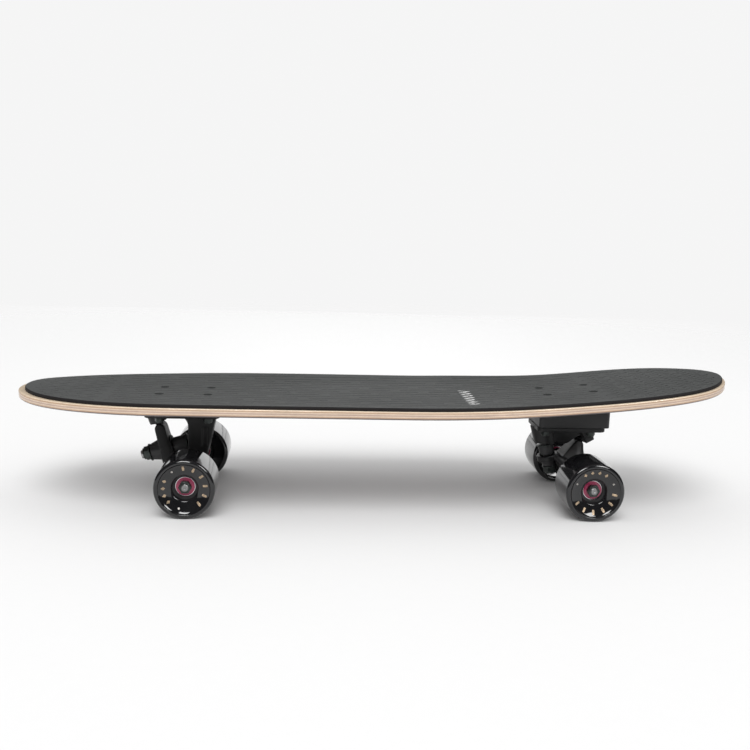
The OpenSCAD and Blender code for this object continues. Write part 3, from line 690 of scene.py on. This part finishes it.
# a thin sheet whose top is the pad's top, for the grooves to find
def topSheet(name, margins, height):
    return boardLayer(name, margins, height - 0.2 * mm, height, (0.0, 0.0), count=120, across=24, arcSteps=1)


def makePad(look):
    bottom = deckLook["thick"] * mm
    top = (deckLook["thick"] + look["thick"]) * mm
    margins = [m * mm for m in look["margins"]]
    edge = [r * mm for r in look["edge"]]
    pad = boardLayer("pad.foam", margins, bottom, top, edge, count=220, across=44)
    material = foamMaterial("foamPad", look)
    wallShades = {"light": look["wall"], "dark": [c * 0.8 for c in look["wall"]]}
    pad.data.materials.append(material)
    pad.data.materials.append(foamMaterial("foamWall", {**look, **wallShades}))
    for face in pad.data.polygons:
        face.material_index = int(face.normal.z < look["wallSlope"])
    surface = topSheet("padTop", margins, top)
    field = topSheet("padField", [m + look["fieldInset"] * mm for m in margins], top)
    tree = grooveTree()
    plain = ("Stagger", "End")  # every other setting of a field is a length
    cutters = []
    for name, rows in look["fields"].items():
        values = {key: rows[key] * mm for key in rows if key not in plain}
        values["Stagger"] = rows["Stagger"]
        values["Points"] = int((rows["End"] - rows["Start"]) / rows["Step"]) + 1
        values["Rows"] = 2 * int(look["fieldHalf"] / rows["Row Pitch"]) + 1
        values.update({"Field": field, "Surface": surface, "Material": material})
        carrier = newPiece("grooves." + name, bpy.data.meshes.new("carrier"))
        carrier.data = runTree(carrier, tree, values)
        print("grooves", name, len(carrier.data.polygons), "faces")
        cutters.append(carrier)
    cutWith(pad, joined("cuts", cutters), "MANIFOLD")
    cutWith(pad, boltCutter(boltHoles["pad"]), "MANIFOLD")
    for spare in (surface, field):
        bpy.data.objects.remove(spare)
    smoothByAngle(pad.data, look["sharp"])
    settle(pad, "deck_pad")
    print("pad made,", len(pad.data.polygons), "faces")


makePad(padLook)

# wheels
wheelLook = {
    "hubLip": 2.0, "dish": 6.0, "lipEnd": 112, "sag": 0.55, "rimDrop": 1.6,
    "band": 4.6, "bandRound": 0.9, "round": 3.2, "recess": 14.0, "coreHalf": 14.5, "coreRadius": 18.0,
    "finish": {"shader": {"Specular IOR Level": 0.5, "Coat Weight": 0.2, "Coat Roughness": 0.04},
               "patch": 40.0, "grain": 700.0, "dark": (0.007, 0.007, 0.008),
               "light": (0.011, 0.011, 0.012), "rough": (0.05, 0.11), "height": 0.004},
}
# the marks on a wheel's face: how far out they sit, and how far each stands above and below the face
printLook = {
    "gold": (0.62, 0.47, 0.32), "silver": (0.60, 0.57, 0.53), "ring": 22.4, "thick": 0.12,
    "finish": {"shader": {"Metallic": 0.55}, "patch": 300.0, "grain": 1500.0, "rough": (0.3, 0.5),
               "height": 0.01},
    # each run of marks: shape, number, size in mm, first angle and sweep in degrees
    "runs": [("bar", 6, 4.3, 0, 140), ("lozenge", 4, 4.4, 206, 62), ("dot", 2, 2.2, 172, 130)],
    "turns": {"front_left": -47, "rear_left": -147, "front_right": 40, "rear_right": -60},
}


def wheelPlace(name):
    low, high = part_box(name + "_wheel")
    return (low + high) / 2, (high.z - low.z) / 2 / mm, (high.y - low.y) / 2 / mm


def tyreProfile(look, radius, half):
    lip = (look["recess"] + look["hubLip"], half - look["dish"] - look["hubLip"])
    outer = [(look["coreRadius"], look["coreHalf"]), (look["recess"], look["coreHalf"])]
    outer += arc(lip, look["hubLip"], 180, look["lipEnd"], 6)
    inner, rim = outer[-1], (radius - look["band"] - 1, half - look["rimDrop"])
    for i in range(1, 8):  # the dish sags a little between the hub's lip and the band
        t = i / 8
        height = inner[1] + (rim[1] - inner[1]) * t - look["sag"] * math.sin(math.pi * t)
        outer.append((inner[0] + (rim[0] - inner[0]) * t, height))
    outer += [rim]
    outer += arc((radius - look["band"] + 0.6, half - look["bandRound"]), look["bandRound"], 150, 90, 5)
    outer += arc((radius - look["round"], half - look["round"]), look["round"], 90, 0, 12)
    return outer + [(r, -h) for r, h in reversed(outer)]


# marks spaced round the dished face, each a thin plate laid on the surface
def markTree():
    kinds = {"Shape": "Object", "Surface": "Object", "Material": "Material", "Count": "Int",
             "Ring": "Float", "First": "Float", "Sweep": "Float", "Size": "Float"}
    tree, given, out = startTree("faceMarks", kinds)
    points = addNode(tree, "GeometryNodeMeshLine", {"Count": given["Count"]}).outputs[0]
    index = addNode(tree, "GeometryNodeInputIndex").outputs[0]
    share = calc(tree, "DIVIDE", index, calc(tree, "SUBTRACT", given["Count"], 1.0))
    turn = calc(tree, "ADD", given["First"], calc(tree, "MULTIPLY", share, given["Sweep"]))
    x = calc(tree, "MULTIPLY", calc(tree, "COSINE", turn), given["Ring"])
    y = calc(tree, "MULTIPLY", calc(tree, "SINE", turn), given["Ring"])
    placed = addNode(tree, "GeometryNodeSetPosition", {
        "Geometry": points, "Position": vectorOf(tree, x, y)}).outputs[0]
    marks = addNode(tree, "GeometryNodeInstanceOnPoints", {
        "Points": placed, "Instance": geometryOf(tree, given["Shape"]),
        "Rotation": vectorOf(tree, 0.0, 0.0, turn),
        "Scale": vectorOf(tree, given["Size"], given["Size"], mm)}).outputs[0]
    whole = addNode(tree, "GeometryNodeRealizeInstances", {"Geometry": marks}).outputs[0]
    hit = rayDown(tree, geometryOf(tree, given["Surface"]), 0.2, 1.0)["Hit Position"]
    laid = shifted(tree, whole, vectorOf(tree, 0.0, 0.0, axes(tree, hit)[2]))
    endTree(tree, laid, given["Material"], out)
    return tree


# a flat plate of unit size with a few rows of points, so that it can follow the dish
def platePiece(name, outline, thick):
    work = bmesh.new()
    ring = [work.verts.new((x, y, thick)) for x, y in outline]
    top = work.faces.new(ring)
    bmesh.ops.inset_individual(work, faces=[top], thickness=0.12)
    lower = bmesh.ops.extrude_face_region(work, geom=list(work.faces))
    under = [thing for thing in lower["geom"] if isinstance(thing, bmesh.types.BMVert)]
    bmesh.ops.translate(work, vec=(0, 0, -2 * thick), verts=under)
    bmesh.ops.recalc_face_normals(work, faces=work.faces)
    mesh = bpy.data.meshes.new(name)
    work.to_mesh(mesh)
    work.free()
    return newPiece(name, mesh)


def markShapes(thick):
    bar = [(-0.6, -0.24), (-0.6, 0.24), (0.0, 0.30), (0.6, 0.24), (0.6, -0.24), (0.0, -0.30)]
    lozenge = [(-0.5, 0), (-0.08, 0.42), (0.5, 0.0), (-0.08, -0.42)]
    dot = [(0.5 * math.cos(a * math.pi / 6), 0.5 * math.sin(a * math.pi / 6)) for a in range(12)]
    shapes = {"bar": bar, "lozenge": lozenge, "dot": dot}
    return {name: platePiece("mark." + name, outline, thick) for name, outline in shapes.items()}


def makeWheels(look, marks):
    urethane = grainedMaterial("wheelUrethane", look["finish"])
    foil = {}
    for name in ("gold", "silver"):
        shades = {"dark": [c * 0.45 for c in marks[name]], "light": marks[name]}
        foil[name] = grainedMaterial("print." + name, {**marks["finish"], **shades})
    _, radius, half = wheelPlace("front_left")
    profile = tyreProfile(look, radius, half)
    template = lathed("faceTemplate", profile, (0, 0, 0), (0, 0, 1), 128)
    shapes = markShapes(marks["thick"])
    tree = markTree()
    for end in ("front", "rear"):
        for side, sign in sides.items():
            name = end + "_" + side
            centre, _, _ = wheelPlace(name)
            tyre = lathed(name + "_wheel.tyre", profile, centre, (0, sign, 0), 160, urethane, 40)
            settle(tyre, name + "_wheel")
            turn = Vector((0, sign, 0)).to_track_quat("Z", "Y").to_matrix().to_4x4()
            for run, (shape, count, size, first, sweep) in enumerate(marks["runs"]):
                carrier = newPiece(f"{name}_print.{run}", bpy.data.meshes.new("print"))
                carrier.data = runTree(carrier, tree, {
                    "Shape": shapes[shape], "Surface": template, "Count": count, "Ring": marks["ring"] * mm,
                    "Material": foil["gold" if run < 2 else "silver"],
                    "First": math.radians(first + marks["turns"][name]), "Sweep": math.radians(sweep),
                    "Size": size * mm})
                carrier.data.transform(Matrix.Translation(centre) @ turn)
                for face in carrier.data.polygons:
                    face.use_smooth = False
                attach(carrier, bodyOf[name + "_wheel"])
    for piece in [template, *shapes.values()]:
        bpy.data.objects.remove(piece)
    print("tyres and their marks made")


makeWheels(wheelLook, printLook)

# bearings and axles
bearingLook = {
    "outer": 11.0, "bore": 4.0, "clear": 0.02, "pitch": 7.5, "land": 1.5, "half": 3.5, "at": 8.5,
    "inset": 0.3, "shield": 0.4, "groove": 2.0, "step": 1.2, "stepDeep": 0.75,
    "washerAt": 12.0, "washerRadius": 6.3, "spacerRadius": 6.0, "spacerHalf": 5,
    # the axle's thread: pitch, depth, and how far in it runs from each tip
    "thread": (1.05, 0.42, 9), "coreEdge": 0.4,
    "steel": {"shader": {"Metallic": 1.0}, "patch": 60.0, "grain": 1200.0, "stretch": (1, 0.1, 1),
              "dark": (0.66, 0.66, 0.68), "light": (0.78, 0.78, 0.79), "rough": (0.12, 0.24),
              "height": 0.006},
    "turned": {"shader": {"Metallic": 1.0}, "patch": 90.0, "grain": 900.0, "stretch": (1, 6, 1),
               "dark": (0.20, 0.20, 0.20), "light": (0.33, 0.33, 0.33), "rough": (0.28, 0.45),
               "height": 0.015},
    "shieldRed": {"shader": {"Coat Weight": 0.5, "Coat Roughness": 0.1}, "patch": 200.0,
                  "grain": 1500.0, "dark": (0.30, 0.015, 0.07), "light": (0.44, 0.03, 0.11),
                  "rough": (0.28, 0.4), "height": 0.01},
    "core": {"shader": {"Specular IOR Level": 0.4}, "patch": 80.0, "grain": 900.0,
             "dark": (0.010, 0.010, 0.011), "light": (0.018, 0.018, 0.019), "rough": (0.4, 0.55),
             "height": 0.02},
}


# a ring's profile: a ball groove in one face, and a step at each end where a shield sits
def raceProfile(flat, land, half, pitch, groove, step, edge=0.35):
    reach = math.degrees(math.acos(min(1.0, abs(land - pitch) / groove)))
    middle = 180 if land < pitch else 0
    hollow = arc((pitch, 0), groove, middle - reach, middle + reach, 8)
    hollow = sorted(hollow, key=lambda spot: -spot[1])
    inwards = 1 if flat > land else -1
    seat = bearingLook["stepDeep"] if step else 0
    shoulder = land + step * inwards
    low = [(land, seat - half), (shoulder, seat - half)] if step else []
    high = [(r, -h) for r, h in reversed(low)]
    back = [(shoulder, -half), (flat - inwards * edge, -half), (flat, edge - half),
            (flat, half - edge), (flat - inwards * edge, half), (shoulder, half)]
    return low + back + high + hollow


# a threaded rod's profile: rings where the thread is, broken tips and small centre holes
def rodProfile(radius, half, thread):
    pitch, deep, run = thread
    low, high = -half, half
    line = [(0, low + 1.2), (1.1, low), (radius - 0.7, low), (radius - 0.15, low + 0.7)]
    for start, end in ((low, low + run), (high - run, high)):
        z = max(start, low + 0.8)
        while z < min(end, high - 0.8) - pitch:
            line += [(radius, z), (radius - deep, z + pitch / 2)]
            z += pitch
    return line + [(radius, high - 0.9), (radius - 0.7, high), (1.1, high), (0, high - 1.2)]


def makeBearings(look):
    steel = grainedMaterial("bearingSteel", look["steel"])
    turned = grainedMaterial("turnedSteel", look["turned"])
    red = grainedMaterial("redShield", look["shieldRed"])
    plastic = grainedMaterial("coreMoulding", look["core"])
    half, pitch, land = look["half"], look["pitch"], look["land"]
    outerRing = raceProfile(look["outer"], pitch + land, half, pitch, look["groove"], look["step"])
    bore = look["bore"] + look["clear"]
    innerRing = raceProfile(bore, pitch - land, half, pitch, look["groove"], 0)
    low, high = half - look["inset"] - look["shield"], half - look["inset"]
    rim, hem = pitch + land + look["step"] - 0.03, pitch - land + 0.3
    shield = [(hem, low), (rim, low), (rim, high), (rim - 0.5, high), (rim - 0.8, high - 0.14),
              (hem + 0.8, high - 0.14), (hem + 0.5, high), (hem, high)]
    washerTube = tubeProfile(bore, look["washerRadius"], look["washerAt"], look["washerAt"] + 1, 0.15)
    farTube = tubeProfile(bore, look["washerRadius"], -look["washerAt"] - 1, -look["washerAt"], 0.15)
    spacerTube = tubeProfile(bore, look["spacerRadius"], -look["spacerHalf"], look["spacerHalf"], 0.3)
    for end in ("front", "rear"):
        innerRings, washers, spacers = [], [], []
        for side, sign in sides.items():
            name = end + "_" + side
            centre, _, _ = wheelPlace(name)
            along = Vector((0, sign, 0))
            rings, covers = [], []
            for at in (-look["at"], look["at"]):
                spot = centre + along * at * mm
                rings.append(lathed("ring", outerRing, spot, along, 96))
                innerRings.append(lathed("ring", innerRing, spot, along, 72))
                for facing in (-1, 1):
                    covers.append(lathed("cover", shield, spot, along * facing, 96))
            settle(joined(name + "_outer_races.piece", rings, steel), name + "_outer_races")
            settle(joined(name + "_shields.piece", covers, red), name + "_shields")
            washers += [lathed("washer", tube, centre, along, 64) for tube in (washerTube, farTube)]
            spacers.append(lathed("spacer", spacerTube, centre, along, 48))
            brokenEdges(name + "_core", plastic, look["coreEdge"])
            frame["nodes"][name + "_balls"].data.materials.clear()
            frame["nodes"][name + "_balls"].data.materials.append(steel)
        settle(joined(end + "_inner_races.piece", innerRings, steel), end + "_bearing_inner_races")
        settle(joined(end + "_speed_washers.piece", washers, turned), end + "_speed_washers")
        settle(joined(end + "_spacers.piece", spacers, turned), end + "_bearing_spacers")
        start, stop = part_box(end + "_axle")
        rod = rodProfile((stop.z - start.z) / 2 / mm, (stop.y - start.y) / 2 / mm, look["thread"])
        axle = lathed(end + "_axle.piece", rod, (start + stop) / 2, (0, 1, 0), 64, turned, 25)
        settle(axle, end + "_axle")
    print("bearings and axles made")


makeBearings(bearingLook)

# castings: CAD shapes blended by a fine remesh, then smoothed like cast fillets
castLook = {
    "voxel": 0.75, "smooth": 7,
    "finish": {"shader": {"Specular IOR Level": 0.38, "Coat Weight": 0.04, "Coat Roughness": 0.35},
               "patch": 45.0, "grain": 1100.0, "dark": (0.004, 0.004, 0.0045),
               "light": (0.009, 0.009, 0.0095), "rough": (0.36, 0.52), "height": 0.09},
}


def makeCastings(look):
    paint = grainedMaterial("castBlack", look["finish"])
    for node in ("front_baseplate", "front_hanger", "rear_baseplate", "rear_hanger"):
        piece = mergedCopy(node + ".cast", node)
        remesh = piece.modifiers.new("blend", "REMESH")
        remesh.mode = "VOXEL"
        remesh.voxel_size = look["voxel"] * mm
        soften = piece.modifiers.new("fillets", "SMOOTH")
        soften.factor = 0.5
        soften.iterations = look["smooth"]
        applyModifiers(piece)
        piece.data.materials.clear()
        piece.data.materials.append(paint)
        for face in piece.data.polygons:
            face.use_smooth = True
        settle(piece, node)
        print(node, len(piece.data.polygons), "faces")


makeCastings(castLook)

# fasteners, bushings and the riser
hardware = {
    "blackOxide": {"shader": {"Metallic": 0.7}, "patch": 120.0, "grain": 900.0,
                   "dark": (0.016, 0.016, 0.017), "light": (0.032, 0.032, 0.033),
                   "rough": (0.32, 0.5), "height": 0.012},
    "darkPlate": {"shader": {"Metallic": 0.85}, "patch": 150.0, "grain": 1000.0,
                  "dark": (0.035, 0.040, 0.038), "light": (0.075, 0.084, 0.080),
                  "rough": (0.28, 0.45), "height": 0.015},
    "zinc": {"shader": {"Metallic": 1.0}, "patch": 130.0, "grain": 1000.0,
             "dark": (0.36, 0.36, 0.37), "light": (0.55, 0.55, 0.55),
             "rough": (0.28, 0.42), "height": 0.012},
    "bushing": {"shader": {"Specular IOR Level": 0.45}, "patch": 60.0, "grain": 800.0,
                "dark": (0.016, 0.016, 0.017), "light": (0.027, 0.027, 0.028),
                "rough": (0.36, 0.5), "height": 0.02},
    "cup": {"shader": {"Specular IOR Level": 0.4}, "patch": 90.0, "grain": 900.0,
            "dark": (0.02, 0.02, 0.02), "light": (0.035, 0.035, 0.035),
            "rough": (0.45, 0.6), "height": 0.02},
    "riser": {"shader": {"Specular IOR Level": 0.42}, "patch": 35.0, "grain": 1300.0,
              "dark": (0.012, 0.012, 0.0125), "light": (0.020, 0.020, 0.021),
              "rough": (0.38, 0.5), "height": 0.05},
}
# what each piece is finished in, and how wide its broken edges are in mm
hardwarePieces = {
    "mount_bolts": ("blackOxide", 0.3), "mount_nuts": ("darkPlate", 0.3), "pivot_cup": ("cup", 0.3),
    "kingpin": ("zinc", 0.3), "kingpin_nut": ("darkPlate", 0.4), "bushing_washers": ("darkPlate", 0.3),
    "axle_nuts": ("darkPlate", 0.4), "outer_bushing": ("bushing", 0.9), "inner_bushing": ("bushing", 0.9),
    "upper_bushing": ("bushing", 0.9), "lower_bushing": ("bushing", 0.9), "riser": ("riser", 1.2),
}


def makeHardware(looks):
    finishes = {name: grainedMaterial(name, look) for name, look in looks.items()}
    for end in ("front", "rear"):
        for name, (finish, width) in hardwarePieces.items():
            node = end + "_" + name
            if node in bodyOf:
                brokenEdges(node, finishes[finish], width, 3)
    print("fasteners, bushings and riser made")


makeHardware(hardware)
